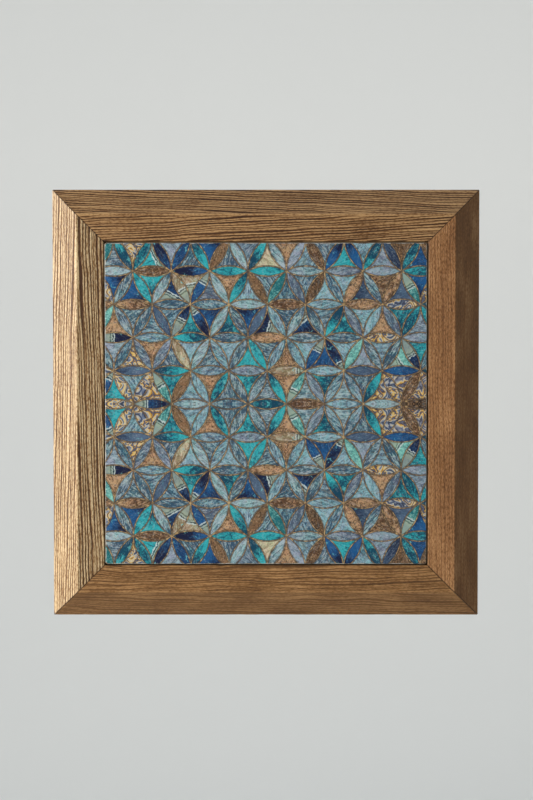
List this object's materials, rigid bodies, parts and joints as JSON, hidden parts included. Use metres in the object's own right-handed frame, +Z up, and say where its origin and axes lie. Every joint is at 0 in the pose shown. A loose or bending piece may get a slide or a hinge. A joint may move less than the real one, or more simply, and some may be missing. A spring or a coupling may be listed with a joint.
{
  "type": "stone painting panel",
  "caption": "Square natural-stone tile with a printed lattice of overlapping circles, in a bevelled and mitred brown wooden frame with a hanger on its back.",
  "frame": {"origin": "middle of the flat back of the frame's top rail, in the plane that lies on the wall", "axes": "+Z up, +Y out of the back towards the wall, so the painted face looks to -Y; +X to the right as a viewer sees the face"},
  "size_m": [0.44, 0.0299, 0.44],
  "materials": {
    "frame_wood": "walnut-brown stain on open-grained ash, satin",
    "printed_stone": "honed travertine with a printed lattice pattern, satin",
    "back_board": "raw fibreboard, matte",
    "steel": "zinc plated, satin"
  },
  "bodies": {
    "root": {"frame_rail_top": "frame_wood", "frame_rail_right": "frame_wood", "frame_rail_bottom": "frame_wood", "frame_rail_left": "frame_wood", "stone_panel": "printed_stone", "backing_board": "back_board", "hanger": "steel", "hanger_screw_left": "steel", "hanger_screw_right": "steel", "board_pin_1": "steel", "board_pin_2": "steel", "board_pin_3": "steel", "board_pin_4": "steel", "board_pin_5": "steel", "board_pin_6": "steel", "board_pin_7": "steel", "board_pin_8": "steel"}
  },
  "joints": []
}
